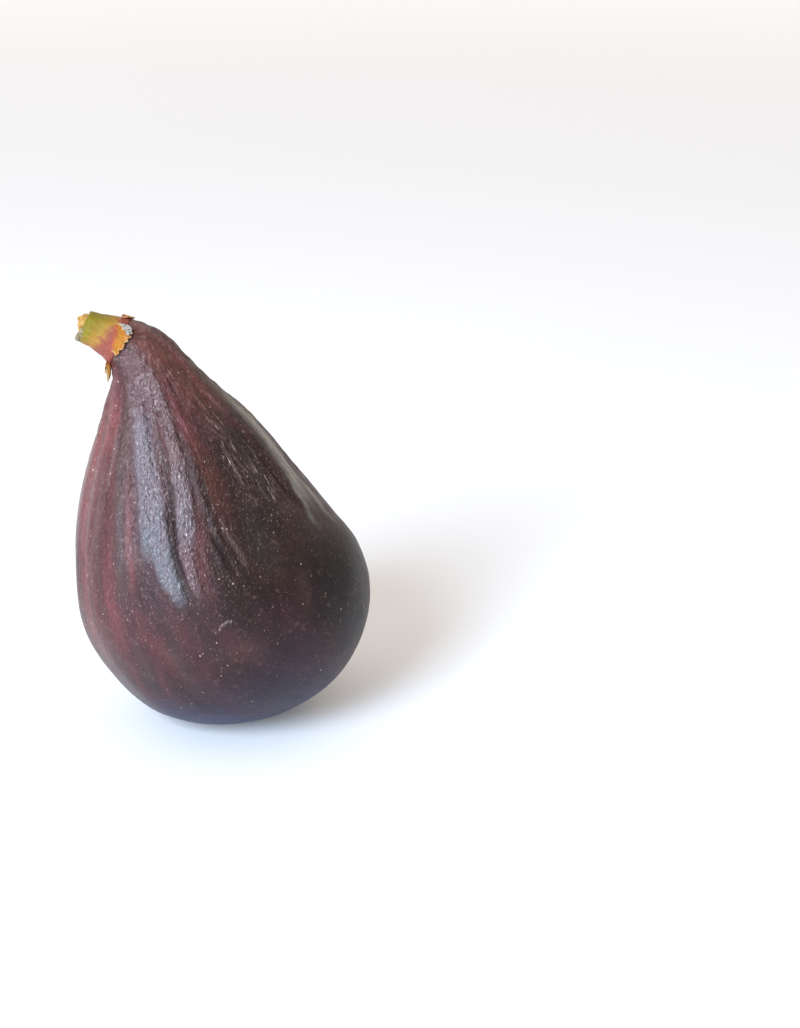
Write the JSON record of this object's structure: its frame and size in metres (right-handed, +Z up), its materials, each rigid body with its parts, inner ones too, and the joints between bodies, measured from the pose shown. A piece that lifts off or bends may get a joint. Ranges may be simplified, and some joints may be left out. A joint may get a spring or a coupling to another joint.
{
  "type": "fresh fig",
  "caption": "Pear-shaped fresh fig with dark purple skin, resting on its round end, with a bent neck, a short cut stem, small basal bracts and a scaly eye low on one side.",
  "frame": {"origin": "middle of the flat patch of skin that the fig rests on", "axes": "+Z up, from the round end to the stem; +X towards the side that the eye faces; the neck bends towards -X"},
  "size_m": [0.0507, 0.0469, 0.0718],
  "materials": {
    "skin": "smooth ripe skin, satin, streaked dark brown, plum and dull red, with pale pores and a thin bluish bloom",
    "stem": "green-yellow bark that turns coral at the neck, matt, with a torn pale woody core",
    "bract": "dry orange scale with a ragged margin and a grey corky patch, matt",
    "eye": "dry orange-brown scales, matt"
  },
  "bodies": {
    "root": {"fruit": "skin", "stem": "stem", "bract_front": "bract", "bract_back": "bract", "bract_under": "bract", "eye_scale_1": "eye", "eye_scale_2": "eye", "eye_scale_3": "eye", "eye_scale_4": "eye", "eye_scale_5": "eye", "eye_scale_6": "eye"}
  },
  "joints": []
}
